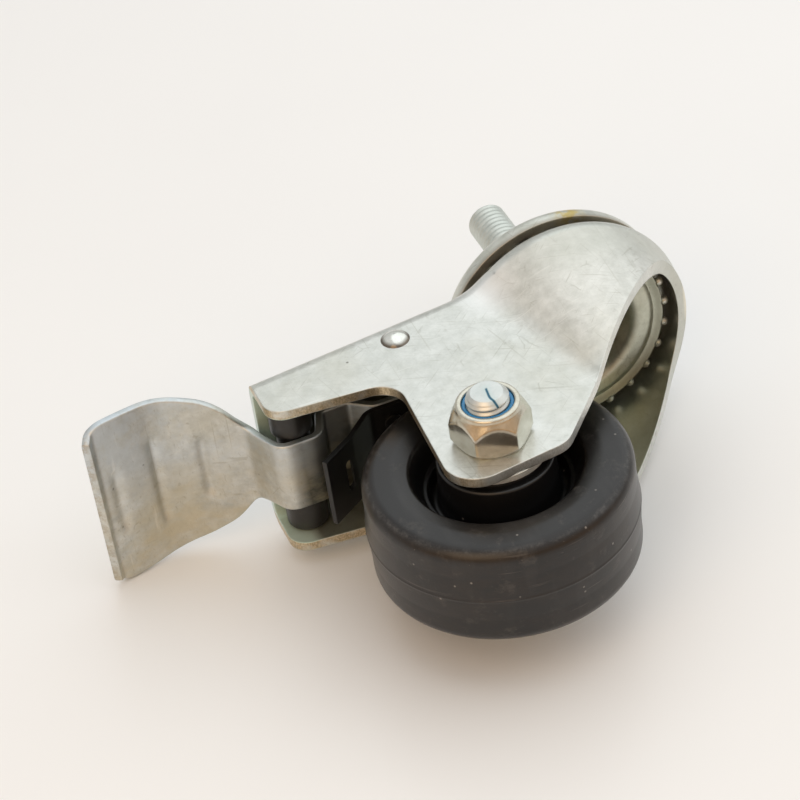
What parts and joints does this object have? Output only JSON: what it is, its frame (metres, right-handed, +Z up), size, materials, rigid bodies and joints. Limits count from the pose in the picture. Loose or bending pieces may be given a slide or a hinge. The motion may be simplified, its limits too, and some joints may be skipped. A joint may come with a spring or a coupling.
{
  "type": "swivel castor with pedal lock",
  "caption": "Furniture swivel castor with a threaded stem, pressed fork, plastic wheel and a foot pedal that brakes the wheel and locks the swivel.",
  "frame": {"origin": "on the stem's axis, which is the swivel axis, at the face that seats under the furniture", "axes": "+Z up along the stem, +X to the trailing side with the pedal, +Y to the side of the axle nut"},
  "size_m": [0.121, 0.0506, 0.108],
  "materials": {
    "zinc_steel": "zinc plated, dull, finely scratched",
    "pedal_steel": "plated, matt, beige-grey",
    "hard_steel": "polished steel balls",
    "black_leaf": "blackened spring steel with bright sheared edges",
    "wheel_plastic": "charcoal moulded plastic",
    "bush_plastic": "black moulded plastic",
    "nylon_ring": "blue nylon"
  },
  "bodies": {
    "head": {"stem": "zinc_steel", "top_plate": "zinc_steel", "lock_cup": "zinc_steel", "upper_balls": "hard_steel", "lower_balls": "hard_steel"},
    "fork": {"fork": "zinc_steel", "axle_sleeve": "zinc_steel", "nut_side_washer": "zinc_steel", "head_side_washer": "zinc_steel", "axle_bolt": "zinc_steel", "axle_nut": "zinc_steel", "nut_insert": "nylon_ring", "pedal_pin": "zinc_steel"},
    "wheel": {"wheel": "wheel_plastic", "hub_bushes": "bush_plastic"},
    "pedal": {"pedal": "pedal_steel", "pedal_roller": "bush_plastic", "brake_leaf": "black_leaf", "leaf_rivets": "zinc_steel", "pedal_spring": "hard_steel"}
  },
  "joints": [
    {"name": "swivel", "type": "hinge", "parent": "head", "child": "fork", "pos_m": [0, 0, 0], "axis": [0, 0, 1], "continuous": true},
    {"name": "wheel_spin", "type": "hinge", "parent": "fork", "child": "wheel", "pos_m": [0.031, 0, -0.051], "axis": [0, 1, 0], "continuous": true},
    {"name": "pedal_press", "type": "hinge", "parent": "fork", "child": "pedal", "pos_m": [0.0361, 0, -0.0163], "axis": [0, 1, 0], "range_deg": [0, 15]}
  ]
}
